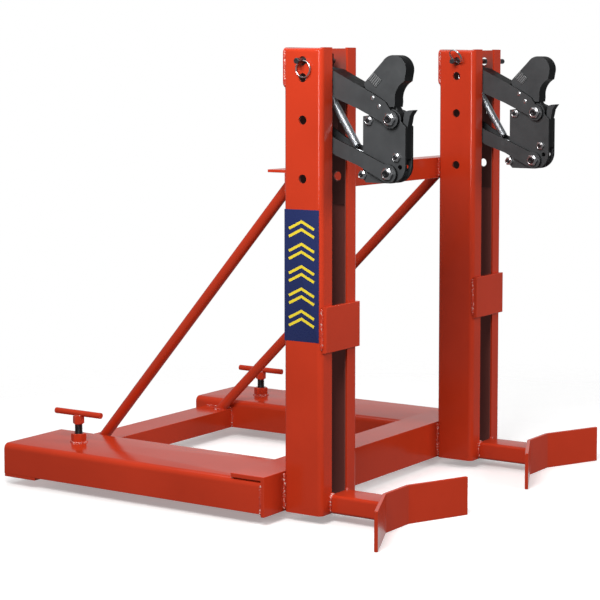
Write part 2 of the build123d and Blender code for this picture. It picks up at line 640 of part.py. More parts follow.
    # Lower arm: two cheeks over a bottom web.
    with BuildPart() as lower_arm:
        for cheek_x in (-ARM_HALF, ARM_HALF - ARM_WALL):
            with BuildSketch(side_of(mast_x + cheek_x)):
                add(lower_cheek.sketch)
            extrude(amount=ARM_WALL)
        with BuildSketch(side_of(mast_x - ARM_HALF)):
            with BuildLine():
                Polyline(*from_front((20, 778.6), (60.6, 764.4), (60.6, 770.4), (20, 784.6)), close=True)
            make_face()
        extrude(amount=2 * ARM_HALF)
    lower_arm.part.label = f"{side}_lower_arm"
    export_step(lower_arm.part, f"parts/{side}_lower_arm.step")

    with BuildPart() as anchor_pin:
        with BuildSketch(side_of(mast_x - ARM_HALF)):
            with Locations(ANCHOR):
                Circle(ANCHOR_R)
        extrude(amount=2 * ARM_HALF)
    anchor_pin.part.label = f"{side}_spring_anchor_pin"
    export_step(anchor_pin.part, f"parts/{side}_spring_anchor_pin.step")

    # Front pivot bolts: shank, lock nut on the left, hex head on the right. The upper one is
    # tight on the upper arm; the lower one turns with the head, clear of the lower arm.
    for node, pivot, grip in (
        ("upper_pivot_bolt", UPPER_FRONT, ARM_HALF),
        ("lower_pivot_bolt", LOWER_FRONT, ARM_HALF + GAP),
    ):
        with BuildPart() as pivot_bolt:
            with BuildSketch(side_of(mast_x - grip)):
                with Locations(pivot):
                    Circle(PIVOT_R)
            extrude(amount=2 * grip)
            for face_x in (-grip - NUT_HEIGHT, grip):
                with BuildSketch(side_of(mast_x + face_x)):
                    with Locations(pivot):
                        RegularPolygon(NUT_FLATS / 2, 6, major_radius=False)
                extrude(amount=NUT_HEIGHT)
        pivot_bolt.part.label = f"{side}_{node}"
        export_step(pivot_bolt.part, f"parts/{side}_{node}.step")

    # ---- beak, carried by the upper arm ---------------------------------------------------
    # A core between the head plates with a thicker cheek on each side above them.
    with BuildPart() as beak:
        with BuildSketch(side_of(mast_x - BEAK_CORE)):
            add(beak_core_side.sketch)
        extrude(amount=2 * BEAK_CORE)
        for cheek_x in (-BEAK_HALF, BEAK_CORE):
            with BuildSketch(side_of(mast_x + cheek_x)):
                add(beak_cheek_side.sketch)
            extrude(amount=BEAK_HALF - BEAK_CORE)
    beak.part.label = f"{side}_beak"
    export_step(beak.part, f"parts/{side}_beak.step")

    with BuildPart() as beak_pins:
        with BuildSketch(side_of(mast_x - ARM_HALF - 1)):
            with Locations(*BEAK_PINS):
                Circle(BEAK_PIN_R)
        extrude(amount=2 * ARM_HALF + 2)
        chamfer(beak_pins.edges().filter_by(GeomType.CIRCLE), 0.8)
    beak_pins.part.label = f"{side}_beak_pins"
    export_step(beak_pins.part, f"parts/{side}_beak_pins.step")

    # ---- head -----------------------------------------------------------------------------
    with BuildPart() as head_plates:
        for plate_x in (-HEAD_HALF, HEAD_HALF - HEAD_WALL):
            with BuildSketch(side_of(mast_x + plate_x)):
                add(head_plate.sketch)
            extrude(amount=HEAD_WALL)
    head_plates.part.label = f"{side}_head_plates"
    export_step(head_plates.part, f"parts/{side}_head_plates.step")

    # Lower jaw between the plates, with its pointed lip standing forward of them.
    with BuildPart() as lower_jaw:
        with BuildSketch(side_of(mast_x - JAW_HALF)):
            add(jaw_side.sketch)
        extrude(amount=2 * JAW_HALF)
    lower_jaw.part.label = f"{side}_lower_jaw"
    export_step(lower_jaw.part, f"parts/{side}_lower_jaw.step")

    # Head bolts with heads and nuts outside the plates, and spacers inside at the rear pair.
    with BuildPart() as head_bolts:
        with BuildSketch(side_of(mast_x - HEAD_HALF)):
            with Locations(*HEAD_BOLTS):
                Circle(HEAD_BOLT_R)
        extrude(amount=2 * HEAD_HALF)
        with BuildSketch(side_of(mast_x - JAW_HALF)):
            with Locations(*HEAD_BOLTS[:2]):
                Circle(SPACER_R)
        extrude(amount=2 * JAW_HALF)
        for face_x in (-HEAD_HALF - HEAD_BOLT_HEIGHT, HEAD_HALF):
            with BuildSketch(side_of(mast_x + face_x)):
                with Locations(*HEAD_BOLTS):
                    RegularPolygon(HEAD_BOLT_FLATS / 2, 6, major_radius=False)
            extrude(amount=HEAD_BOLT_HEIGHT)
    head_bolts.part.label = f"{side}_head_bolts"
    export_step(head_bolts.part, f"parts/{side}_head_bolts.step")

    # ---- extension spring -----------------------------------------------------------------
    # The coil's envelope with the upper eye over the rear pivot bolt; the lower eye over the
    # anchor pin slides away from it along the spring's line as the arms swing down.
    upper_eye = Vector(mast_x, *UPPER_REAR)
    lower_eye = Vector(mast_x, *ANCHOR)
    upper_eye_r = PIVOT_R + EYE_PLAY + SPRING_WIRE / 2
    lower_eye_r = ANCHOR_R + EYE_PLAY + SPRING_WIRE / 2
    coil_length = SPRING_SPAN - COIL_START - COIL_STOP
    with BuildPart() as spring:
        with BuildSketch(Plane(origin=upper_eye + SPRING_DIR * COIL_START, z_dir=SPRING_DIR)):
            Circle(SPRING_R)
        extrude(amount=coil_length)
        with BuildSketch(Plane(origin=upper_eye, x_dir=SPRING_DIR, z_dir=(1, 0, 0))):
            Circle(upper_eye_r + SPRING_WIRE / 2)
            with Locations((upper_eye_r, 0)):
                Rectangle(COIL_START - upper_eye_r + 1, SPRING_WIRE, align=(Align.MIN, Align.CENTER))
            Circle(upper_eye_r - SPRING_WIRE / 2, mode=Mode.SUBTRACT)
        extrude(amount=SPRING_WIRE / 2, both=True)
    spring.part.label = f"{side}_spring"
    export_step(spring.part, f"parts/{side}_spring.step")

    with BuildPart() as spring_hook:
        with BuildSketch(Plane(origin=lower_eye, x_dir=-SPRING_DIR, z_dir=(1, 0, 0))):
            Circle(lower_eye_r + SPRING_WIRE / 2)
            with Locations((lower_eye_r, 0)):
                Rectangle(COIL_STOP - lower_eye_r - GAP, SPRING_WIRE, align=(Align.MIN, Align.CENTER))
            Circle(lower_eye_r - SPRING_WIRE / 2, mode=Mode.SUBTRACT)
        extrude(amount=SPRING_WIRE / 2, both=True)
    spring_hook.part.label = f"{side}_spring_hook"
    export_step(spring_hook.part, f"parts/{side}_spring_hook.step")
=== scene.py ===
import json
from math import atan2, cos, pi, radians, sin, sqrt

import bmesh
import bpy
import numpy as np
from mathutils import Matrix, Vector, noise


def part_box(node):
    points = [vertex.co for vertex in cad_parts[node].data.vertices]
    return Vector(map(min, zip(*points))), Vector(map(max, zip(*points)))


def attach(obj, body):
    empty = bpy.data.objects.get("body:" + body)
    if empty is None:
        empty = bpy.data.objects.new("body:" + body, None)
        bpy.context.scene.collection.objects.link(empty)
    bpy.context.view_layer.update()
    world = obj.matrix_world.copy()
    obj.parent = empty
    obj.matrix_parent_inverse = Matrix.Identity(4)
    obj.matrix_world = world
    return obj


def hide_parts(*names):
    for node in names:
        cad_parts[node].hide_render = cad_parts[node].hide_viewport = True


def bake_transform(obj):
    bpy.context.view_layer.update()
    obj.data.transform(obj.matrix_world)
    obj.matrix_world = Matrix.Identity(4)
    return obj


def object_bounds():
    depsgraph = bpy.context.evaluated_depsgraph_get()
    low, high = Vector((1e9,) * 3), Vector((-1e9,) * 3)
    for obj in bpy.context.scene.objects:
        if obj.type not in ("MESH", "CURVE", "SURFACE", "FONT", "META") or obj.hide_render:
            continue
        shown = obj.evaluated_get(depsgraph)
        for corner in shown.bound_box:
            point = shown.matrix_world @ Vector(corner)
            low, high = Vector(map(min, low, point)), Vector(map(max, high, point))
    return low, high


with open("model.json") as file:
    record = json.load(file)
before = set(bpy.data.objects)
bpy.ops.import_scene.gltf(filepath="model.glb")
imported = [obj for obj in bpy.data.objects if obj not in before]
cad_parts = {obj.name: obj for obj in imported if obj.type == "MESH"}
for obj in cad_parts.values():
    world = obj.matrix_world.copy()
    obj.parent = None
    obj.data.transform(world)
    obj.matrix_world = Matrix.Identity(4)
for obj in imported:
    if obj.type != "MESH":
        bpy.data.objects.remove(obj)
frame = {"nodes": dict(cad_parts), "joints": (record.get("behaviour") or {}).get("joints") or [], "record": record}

# Fork-mounted double drum gripper. Metres, +Z up, -Y the drum side, +X the right.

MM = 0.001
SIDES = ("left", "right")
nodes = frame["nodes"]
record = frame["record"]
cad_lo, cad_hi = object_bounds()
slot_of = {row["node"]: row["material_slot"] for row in record["subparts"]}
body_of = {n: b for b, members in record["behaviour"]["bodies"].items() for n in members}
joint_at = {j["name"]: Vector(j["pos_m"]) for j in frame["joints"] if "pos_m" in j}

# The masts' inner walls: |x| from the first to the second, y from the third to the fourth.
MAST_LO, MAST_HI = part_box("right_mast")
MAST_WALL = 4.75 * MM
INNER_DEPTH = 0.85 * MAST_WALL      # a little less than the wall, so that its inner face is in
MAST_IN = (
    MAST_LO.x + INNER_DEPTH, MAST_HI.x - INNER_DEPTH,
    MAST_LO.y + INNER_DEPTH, MAST_HI.y - INNER_DEPTH,
)
WALL_FADE = 0.4 * MM
# The painted shade inside the masts lifts towards the open top, over TOP_FADE on either side of INTERIOR_TOP.
INTERIOR_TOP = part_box("right_carriage")[1].z + 5 * MM
TOP_FADE = 32 * MM


# ---- measuring the frame ------------------------------------------------------------------
def middle(node):
    """The middle of a node's box."""
    lo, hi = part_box(node)
    return (lo + hi) / 2


def islands(node):
    """The boxes of a node's separate solids, from front to back."""
    bm = bmesh.new()
    bm.from_mesh(nodes[node].data)
    bmesh.ops.remove_doubles(bm, verts=bm.verts, dist=0.005 * MM)
    bm.verts.ensure_lookup_table()
    seen, boxes = set(), []
    for start in bm.verts:
        if start.index in seen:
            continue
        seen.add(start.index)
        todo, points = [start], []
        while todo:
            vert = todo.pop()
            points.append(vert.co.copy())
            for edge in vert.link_edges:
                other = edge.other_vert(vert)
                if other.index not in seen:
                    seen.add(other.index)
                    todo.append(other)
        lo = Vector([min(p[i] for p in points) for i in range(3)])
        hi = Vector([max(p[i] for p in points) for i in range(3)])
        boxes.append((lo, hi))
    bm.free()
    return sorted(boxes, key=lambda pair: pair[0].y)


# ---- materials ----------------------------------------------------------------------------
class Nodes:
    """A material's node tree, with short ways to add nodes and link them."""

    def __init__(self, name):
        self.material = bpy.data.materials.new(name)
        self.material.use_nodes = True
        self.tree = self.material.node_tree
        self.shader = self.tree.nodes["Principled BSDF"]
        self.place = self.add("ShaderNodeTexCoord").outputs["Object"]

    def add(self, kind, links=(), **values):
        made = self.tree.nodes.new(kind)
        for key, value in values.items():
            if key in made.inputs:
                made.inputs[key].default_value = value
            else:
                setattr(made, key, value)
        for socket, source in dict(links).items():
            self.tree.links.new(source, made.inputs[socket])
        return made

    def noise(self, scale, detail=2.0, stretch=None):
        place = self.place
        if stretch:
            mapping = self.add("ShaderNodeMapping", {"Vector": place})
            mapping.inputs["Scale"].default_value = stretch
            place = mapping.outputs[0]
        made = self.add("ShaderNodeTexNoise", {"Vector": place}, Scale=scale, Detail=detail)
        return made.outputs["Fac"]

    def span(self, source, low, high, to_low, to_high):
        """The source with low to high stretched onto to_low to to_high."""
        made = self.add("ShaderNodeMapRange", {"Value": source})
        limits = {"From Min": low, "From Max": high, "To Min": to_low, "To Max": to_high}
        for key, value in limits.items():
            made.inputs[key].default_value = value
        return made.outputs["Result"]

    def blend(self, factor, first, second):
        made = self.add("ShaderNodeMix", data_type="RGBA")
        self.tree.links.new(factor, made.inputs["Factor"])
        for socket, value in ((made.inputs[6], first), (made.inputs[7], second)):
            if isinstance(value, bpy.types.NodeSocket):
                self.tree.links.new(value, socket)
            else:
                socket.default_value = (*value, 1.0)
        return made.outputs[2]

    def highlight_edges(self, radius):
        """1 on the object's convex and concave edges, 0 on its flats: where edge highlights are painted."""
        rounded = self.add("ShaderNodeBevel", samples=4, Radius=radius)
        plain = self.add("ShaderNodeNewGeometry")
        dot = self.add("ShaderNodeVectorMath", operation="DOT_PRODUCT")
        self.tree.links.new(rounded.outputs[0], dot.inputs[0])
        self.tree.links.new(plain.outputs["Normal"], dot.inputs[1])
        return self.span(dot.outputs["Value"], 0.995, 0.80, 0.0, 1.0)

    def bounded(self, source, low, high, fade):
        """1 between low and high, 0 outside, with a fade at each end."""
        rise = self.span(source, low - fade, low + fade, 0.0, 1.0)
        fall = self.span(source, high - fade, high + fade, 1.0, 0.0)
        return self.product(rise, fall)

    def product(self, *sources):
        result = sources[0]
        for source in sources[1:]:
            times = self.add("ShaderNodeMath", {0: result, 1: source}, operation="MULTIPLY")
            result = times.outputs[0]
        return result

    def shaded_mast_insides(self):
        """1 on the inner walls of the masts below their open tops, where shade is painted, 0 elsewhere."""
        axes = self.add("ShaderNodeSeparateXYZ", {"Vector": self.place}).outputs
        across = self.add("ShaderNodeMath", {0: axes["X"]}, operation="ABSOLUTE").outputs[0]
        return self.product(
            self.bounded(across, MAST_IN[0], MAST_IN[1], WALL_FADE),
            self.bounded(axes["Y"], MAST_IN[2], MAST_IN[3], WALL_FADE),
            self.bounded(axes["Z"], -1.0, INTERIOR_TOP, TOP_FADE),
        )

    def bump(self, height, strength, distance):
        """Fine relief on the surface, from a node's output."""
        made = self.add("ShaderNodeBump", {"Height": height}, Strength=strength, Distance=distance)
        self.tree.links.new(made.outputs[0], self.shader.inputs["Normal"])

    def set(self, **values):
        """Sets the shader's sockets: a node's output is linked, a number or colour is set."""
        for key, value in values.items():
            socket = self.shader.inputs[key.replace("_", " ")]
            if isinstance(value, bpy.types.NodeSocket):
                self.tree.links.new(value, socket)
            elif isinstance(value, tuple):
                socket.default_value = (*value, 1.0)
            else:
                socket.default_value = value


RED_DEEP, RED_LIGHT = (0.46, 0.033, 0.0095), (0.52, 0.038, 0.0115)
RED_HAZE = (0.30, 0.020, 0.008)
# Lighter red painted on edges as a highlight.
RED_EDGE_HIGHLIGHT = (0.72, 0.095, 0.050)
# Darker red painted inside the masts as shade.
RED_INSIDE_SHADE = (0.19, 0.052, 0.042)
# Near black painted as shade on faces that don't face along X.
EDGE_FACE_SHADE = (0.0034, 0.0036, 0.0040)
# SCUFF is wear; the lighter grey beside it is a painted edge highlight.
SCUFF, BLACK_EDGE_HIGHLIGHT = (0.085, 0.085, 0.09), (0.15, 0.153, 0.16)
# The weld's third colour is painted on as bright glints.
WELD_DEEP, WELD_LIGHT, WELD_GLINT = (0.40, 0.024, 0.009), (0.58, 0.050, 0.022), (0.80, 0.55, 0.50)
# A weak emission that stands in for the red light that the masts' inner walls pass around.
INNER_GLOW = (1.0, 0.42, 0.38)


def enamel():
    """Gloss red-orange enamel: slow colour drift, orange peel, painted highlights on edges, painted shade and a
    weak glow inside masts.
    """
    n = Nodes("red_enamel")
    drift = n.span(n.noise(5.0, 3.0), 0.3, 0.7, 0.0, 1.0)
    body = n.blend(drift, RED_DEEP, RED_LIGHT)
    haze = n.span(n.noise(46.0, 6.0), 0.52, 0.85, 0.0, 0.10)
    body = n.blend(haze, body, RED_HAZE)
    # Edges lighter: a painted highlight.
    edge = n.span(n.highlight_edges(1.4 * MM), 0.0, 1.0, 0.0, 0.30)
    body = n.blend(edge, body, RED_EDGE_HIGHLIGHT)
    # Inside the masts: darker red as painted shade, and a weak glow as painted light.
    inside = n.shaded_mast_insides()
    n.set(Base_Color=n.blend(inside, body, RED_INSIDE_SHADE))
    n.set(Emission_Color=INNER_GLOW, Emission_Strength=n.span(inside, 0.0, 1.0, 0.0, 0.020))
    n.set(Roughness=n.span(n.noise(9.0, 3.0), 0.3, 0.7, 0.13, 0.20))
    n.set(IOR=1.5, Specular_IOR_Level=0.30)
    n.bump(n.noise(260.0, 2.0), 0.06, 0.12 * MM)
    return n.material


def black_paint(name, tone, rough, glow=0.0):
    """Satin black paint on cut plate: faces not along X painted darker as shade, edges lighter as painted
    highlights, faint scuffs, glow as painted light.
    """
    n = Nodes(name)
    drift = n.span(n.noise(24.0, 4.0), 0.3, 0.7, 0.0, 1.0)
    body = n.blend(drift, tuple(0.85 * c for c in tone), tuple(1.12 * c for c in tone))
    scuffs = n.span(n.noise(60.0, 6.0, stretch=(1.0, 9.0, 1.4)), 0.64, 0.76, 0.0, 0.22)
    body = n.blend(scuffs, body, SCUFF)
    # Edges lighter: a painted highlight.
    edge = n.span(n.highlight_edges(0.9 * MM), 0.0, 1.0, 0.0, 0.40)
    body = n.blend(edge, body, BLACK_EDGE_HIGHLIGHT)
    normal = n.add("ShaderNodeNewGeometry").outputs["Normal"]
    facing = n.add("ShaderNodeSeparateXYZ", {"Vector": normal})
    sideways = n.add("ShaderNodeMath", {0: facing.outputs["X"]}, operation="ABSOLUTE").outputs[0]
    # Faces that don't face along X darkened: painted shade.
    cut = n.span(sideways, 0.80, 0.35, 0.0, 0.94)
    n.set(Base_Color=n.blend(cut, body, EDGE_FACE_SHADE))
    n.set(Roughness=n.span(n.noise(90.0, 3.0), 0.3, 0.7, rough - 0.07, rough + 0.07))
    n.set(Specular_IOR_Level=n.span(sideways, 0.35, 0.80, 0.06, 0.36))
    n.bump(n.noise(650.0, 3.0), 0.22, 0.2 * MM)
    if glow:
        n.set(Emission_Color=INNER_GLOW, Emission_Strength=glow)
    return n.material


def bare_metal(name, tone, rough, grain, edge_highlight_tone):
    """Plated or bare steel: cloudy tone, fine grain and edges brightened as a painted highlight."""
    n = Nodes(name)
    clouds = n.span(n.noise(130.0, 4.0), 0.3, 0.7, 0.0, 1.0)
    body = n.blend(clouds, tuple(0.82 * c for c in tone), tone)
    # Edges brighter: a painted highlight.
    edge = n.span(n.highlight_edges(0.5 * MM), 0.0, 1.0, 0.0, 0.6)
    n.set(Base_Color=n.blend(edge, body, edge_highlight_tone), Metallic=1.0)
    cloudy = n.noise(300.0, 3.0, stretch=grain)
    n.set(Roughness=n.span(cloudy, 0.3, 0.7, rough - 0.06, rough + 0.08))
    n.bump(n.noise(1400.0, 2.0, stretch=grain), 0.12, 0.1 * MM)
    return n.material


def weld_paint():
    """The same enamel over rippled weld metal, glossier, with bright specks painted as glints."""
    n = Nodes("weld_enamel")
    drift = n.span(n.noise(90.0, 3.0), 0.3, 0.7, 0.0, 1.0)
    body = n.blend(drift, WELD_DEEP, WELD_LIGHT)
    # Bright specks: painted glints.
    glints = n.span(n.noise(230.0, 3.0), 0.57, 0.64, 0.0, 0.90)
    n.set(Base_Color=n.blend(glints, body, WELD_GLINT))
    n.set(Roughness=n.span(n.noise(160.0, 2.0), 0.3, 0.7, 0.10, 0.24))
    n.set(Coat_Weight=0.4, Coat_Roughness=0.06)
    n.bump(n.noise(500.0, 3.0), 0.30, 0.35 * MM)
    return n.material


def plastic(name, tone, rough):
    """Nylon or vinyl: nearly even colour with a faint mottle."""
    n = Nodes(name)
    mottle = n.span(n.noise(240.0, 3.0), 0.3, 0.7, 0.0, 1.0)
    n.set(Base_Color=n.blend(mottle, tuple(0.85 * c for c in tone), tone))
    n.set(Roughness=n.span(n.noise(500.0, 2.0), 0.3, 0.7, rough - 0.05, rough + 0.05))
    return n.material


EVEN, ALONG_X = (1.0, 1.0, 1.0), (6.0, 1.0, 1.0)      # the grain's stretch along each axis
RED = enamel()
BLACK = black_paint("gripper_black", (0.048, 0.051, 0.054), 0.40)
PAD = black_paint("pad_black", (0.14, 0.145, 0.15), 0.30)
# The carriage's weak red glow is painted light, standing in for light passed around inside the masts.
CARRIAGE = black_paint("carriage_black", (0.060, 0.018, 0.015), 0.46, glow=0.014)
# The last colour of each metal is its painted edge highlight.
ZINC = bare_metal("zinc_plate", (0.66, 0.67, 0.69), 0.20, EVEN, (0.95, 0.95, 0.96))
SPRING = bare_metal("spring_wire", (0.80, 0.84, 0.88), 0.42, EVEN, (0.95, 0.97, 1.0))
PIN = bare_metal("pin_steel", (0.13, 0.135, 0.145), 0.34, ALONG_X, (0.40, 0.41, 0.43))
OXIDE = bare_metal("black_oxide", (0.060, 0.060, 0.064), 0.36, EVEN, (0.28, 0.28, 0.30))
NYLON = plastic("nut_insert", (0.030, 0.034, 0.042), 0.45)
WELD = weld_paint()
NAVY = plastic("decal_navy", (0.012, 0.022, 0.105), 0.30)
YELLOW = plastic("decal_yellow", (0.84, 0.66, 0.035), 0.32)

LOOK = {
    "frame_paint": RED,
    "gripper_black": BLACK,
    "carriage_black": CARRIAGE,
    "zinc_hardware": ZINC,
    "spring_steel": SPRING,
    "detent_pin_steel": PIN,
    "screw_black": OXIDE,
}


# ---- making pieces ------------------------------------------------------------------------
SHARP = 32.0        # degrees: an edge bent further than this stays sharp


def piece(name, verts, faces, look, body, slot, smooth=SHARP):
    """A mesh piece in its material, attached to a body unless body is None."""
    mesh = bpy.data.meshes.new(name)
    mesh.from_pydata([tuple(v) for v in verts], [], faces)
    mesh.validate()
    bm = bmesh.new()
    bm.from_mesh(mesh)
    bmesh.ops.recalc_face_normals(bm, faces=bm.faces)
    bm.to_mesh(mesh)
    bm.free()
    mesh.shade_smooth()
    mesh.set_sharp_from_angle(angle=radians(smooth))
    mesh.materials.append(look)
    made = bpy.data.objects.new(name, mesh)
    bpy.context.scene.collection.objects.link(made)
    if body:
        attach(made, body)
    return made


def skin(rings, closed=False):
    """Faces over rings of equal point count, capped at both ends unless they close on themselves."""
    count = len(rings[0])
    verts = [p for ring in rings for p in ring]
    faces = []
    for i in range(len(rings) if closed else len(rings) - 1):
        a, b = i * count, ((i + 1) % len(rings)) * count
        faces += [(a + k, a + (k + 1) % count, b + (k + 1) % count, b + k) for k in range(count)]
    if not closed:
        faces.append(tuple(range(count)))
        faces.append(tuple(range(len(verts) - count, len(verts))))
    return verts, faces


def turned(axis, at, across):
    """Maps (angle, radius, height) about an axis to a point; across is where angle 0 points."""
    along = Vector(axis).normalized()
    u = (Vector(across) - along * along.dot(Vector(across))).normalized()
    v = along.cross(u)
    base = Vector(at)
    return lambda angle, r, h: base + along * h + (u * cos(angle) + v * sin(angle)) * r


def frames(path):
    """A point, a tangent and two normals at each point of a path, without twist."""
    last = len(path) - 1
    tangents = [(path[min(i + 1, last)] - path[max(i - 1, 0)]).normalized() for i in range(last + 1)]
    first = tangents[0]
    u = first.cross(Vector((0, 0, 1)) if abs(first.z) < 0.9 else Vector((1, 0, 0))).normalized()
    made = []
    for point, tangent in zip(path, tangents):
        u = (u - tangent * tangent.dot(u)).normalized()
        made.append((point, tangent, u, tangent.cross(u)))
    return made


def tube(path, radius, sides):
    """Rings round a path; radius is a number or a function of the point's index."""
    rings = []
    for i, (point, _, u, v) in enumerate(frames(path)):
        r = radius(i) if callable(radius) else radius
        rings.append([point + (u * cos(a) + v * sin(a)) * r
                      for a in (2 * pi * k / sides for k in range(sides))])
    return skin(rings)


def resample(path, step):
    """The path's points, evenly spaced at about step."""
    lengths = [(b - a).length for a, b in zip(path, path[1:])]
    total = sum(lengths)
    count = max(2, round(total / step))
    made, i, done = [], 0, 0.0
    for k in range(count + 1):
        want = total * k / count
        while i < len(lengths) - 1 and done + lengths[i] < want:
            done += lengths[i]
            i += 1
        share = 0 if lengths[i] == 0 else (want - done) / lengths[i]
        made.append(path[i].lerp(path[i + 1], min(1.0, share)))
    return made


def merged(parts):
    """Joins (verts, faces) pairs into one."""
    verts, faces = [], []
    for more_verts, more_faces in parts:
        base = len(verts)
        verts += list(more_verts)
        faces += [tuple(i + base for i in face) for face in more_faces]
    return verts, faces


# ---- weld beads ---------------------------------------------------------------------------
RIPPLE = 2.6 * MM       # length of one scale of a bead
BEAD_STEP = 0.85        # mm between a bead's rings


def bead(path, radius, seed):
    """A fillet weld: overlapping scales along the path, a little uneven, tapering at its ends."""
    points = resample([Vector(p) for p in path], BEAD_STEP * MM)
    last = len(points) - 1

    def size(i):
        scale = (i * BEAD_STEP * MM / RIPPLE) % 1.0
        wobble = noise.noise(Vector((i * 0.09, seed * 7.3, 0.5)))
        taper = min(1.0, 0.35 + min(i, last - i) / 4.0)
        return radius * taper * (0.88 + 0.22 * sqrt(1.0 - scale) + 0.14 * wobble)

    jog = [p + noise.noise_vector(Vector((i * 0.05, seed * 3.1, 0))) * radius * 0.12
           for i, p in enumerate(points)]
    return tube(jog, size, sides=9)


def weld_piece(name, bead_made, body="frame"):
    piece(name, *bead_made, WELD, body, "frame_paint", smooth=60.0)


def welds(name, radius, runs):
    """One piece of several beads that ride on the frame; radius in mm."""
    weld_piece(name, merged([bead(run, radius * MM, k + len(name)) for k, run in enumerate(runs)]))


def box_of(node):
    lo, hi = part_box(node)
    return lo.x, lo.y, lo.z, hi.x, hi.y, hi.z


def upright(x, y, low, high, short_low, short_high):
    """A run straight up at (x, y) that stops short of low and high by so many mm."""
    return [(x, y, low + short_low * MM), (x, y, high - short_high * MM)]


_, angle_y0, _, _, angle_y1, angle_z1 = box_of("front_cross_angle")
upper_x0, upper_y0, upper_z0, upper_x1, _, upper_z1 = box_of("upper_cross_angle")
_, rear_y0, rear_z0, _, rear_y1, rear_z1 = box_of("rear_cross_angle")
GROUND = 0.0
FLANGE = 9.5 * MM
SMALL_WALL = 6.35 * MM
# How far a bead's centre stands off what it fills: a plain corner, the groove beside a mast's
# rounded rear edge, and the step of the top plate.
TUCK = 0.8 * MM
GROOVE = 0.6 * MM
FOOT_BACK, UPPER_BACK = 2.2 * MM, 1.6 * MM
LIP_BACK = 1.0 * MM
PLATE_IN, PLATE_BACK = 1.4 * MM, 1.0 * MM
OUTER_OFF, OUTER_BACK = 1.6 * MM, 0.4 * MM

for side in SIDES:
    outward = -1 if side == "left" else 1
    mx0, my0, _, mx1, _, _ = box_of(f"{side}_mast")
    inner, outer = (mx1, mx0) if side == "left" else (mx0, mx1)
    sx0, sy0, _, sx1, _, sz1 = box_of(f"{side}_fork_sleeve")
    sleeve_in, sleeve_out = (sx1, sx0) if side == "left" else (sx0, sx1)
    cx0, _, cz0, cx1, _, cz1 = box_of(f"{side}_collar_plate")
    ax0, ay0, _, ax1, ay1, az1 = box_of(f"{side}_support_arm")
    px0, py0, pz0, px1, _, pz1 = box_of(f"{side}_mast_top_plate")
    _, ty0, _, _, ty1, tz1 = box_of(f"{side}_sleeve_strap")

    # Mast to the front cross angle, both sides, in the corner behind the mast's rounded edge.
    corner_y = angle_y0 - FOOT_BACK
    welds(f"{side}_weld_mast_foot", 3.6, [
        upright(outer - outward * GROOVE, corner_y, GROUND, angle_z1, 4, 4),
        upright(inner + outward * GROOVE, corner_y, GROUND, angle_z1, 4, 4),
    ])
    # Upper cross angle to the mast's inner edge, and its end to the mast's back.
    upper_end = (upper_x0 if side == "left" else upper_x1) + outward * TUCK
    welds(f"{side}_weld_upper_angle", 3.0, [
        upright(inner + outward * GROOVE, upper_y0 - UPPER_BACK, upper_z0, upper_z1, 3, 2),
        upright(upper_end, upper_y0 + TUCK, upper_z0, upper_z1, 2, 2),
    ])
    # Collar plate's sides over the mast's rounded front edges.
    welds(f"{side}_weld_collar", 2.9, [
        upright(x, my0 + LIP_BACK, cz0, cz1, 6, 4) for x in (cx0 - TUCK, cx1 + TUCK)
    ])
    # Support arm to the mast's lips: up each side, then a little way in over its top.
    top = az1 + TUCK
    welds(f"{side}_weld_support_arm", 3.2, [
        upright(ax0 - TUCK, ay1 - TUCK, GROUND, az1, 4, 5)
        + [(ax0 + 5 * MM, ay1 - TUCK, top), (ax0 + 14 * MM, ay1 - TUCK, top)],
        upright(ax1 + TUCK, ay1 - TUCK, GROUND, az1, 4, 5)
        + [(ax1 - 5 * MM, ay1 - TUCK, top), (ax1 - 14 * MM, ay1 - TUCK, top)],
    ])
    # Support arm to the back of the belly plate, round three sides in one run.
    face_y = ay0 + TUCK
    welds(f"{side}_weld_belly_plate", 3.0, [
        upright(ax0 - TUCK, face_y, GROUND, az1, 3, 6)
        + [(ax0 + 6 * MM, face_y, top), (ax1 - 6 * MM, face_y, top)]
        + upright(ax1 + TUCK, face_y, GROUND, az1, 3, 6)[::-1],
    ])
    # Top plate's lower edge on the mast's rear face, and its sides on the rounded rear edges.
    welds(f"{side}_weld_top_plate", 2.6, [
        [(px0 + 5 * MM, py0 + TUCK, pz0 - TUCK), (px1 - 5 * MM, py0 + TUCK, pz0 - TUCK)],
    ])
    welds(f"{side}_weld_top_plate_sides", 3.4, [
        upright(x, py0 - PLATE_BACK, pz0, pz1, 3, 6) for x in (px0 + PLATE_IN, px1 - PLATE_IN)
    ])
    # Sleeve to the front cross angle: over the top, up the inside and up the outside edge.
    welds(f"{side}_weld_sleeve_front", 3.0, [
        [(x, angle_y1 + TUCK, sz1 + TUCK) for x in (sx0 + 12 * MM, sx1 - 12 * MM)],
        upright(sleeve_in - outward * TUCK, angle_y0 + FLANGE + TUCK, GROUND, angle_z1 - FLANGE, 8, 4),
    ])
    welds(f"{side}_weld_sleeve_outer", 3.4, [
        upright(sleeve_out - outward * OUTER_OFF, sy0 + OUTER_BACK, GROUND, sz1, 5, 7),
    ])
    # Rear cross angle's end on the sleeve's inner wall.
    rear_end = sleeve_in - outward * TUCK
    welds(f"{side}_weld_rear_angle", 2.6, [
        [(rear_end, rear_y0 - TUCK, rear_z0 + 2 * MM), (rear_end, rear_y0 - TUCK, rear_z1 - TUCK),
         (rear_end, rear_y0 + 2 * MM, rear_z1 + TUCK), (rear_end, rear_y1 - 3 * MM, rear_z1 + TUCK)],
    ])
    # Underside strap's edges inside the sleeve's mouth.
    welds(f"{side}_weld_strap", 2.4, [
        [(x, ty0 + 5 * MM, tz1 + TUCK), (x, ty1 - 5 * MM, tz1 + TUCK)]
        for x in (sx0 + SMALL_WALL + TUCK, sx1 - SMALL_WALL - TUCK)
    ])


END_SLICE = 0.5 * MM        # how near a strut's end its outline's points lie
LOOP_GAP = 0.8 * MM         # points closer than this to the last one are passed over


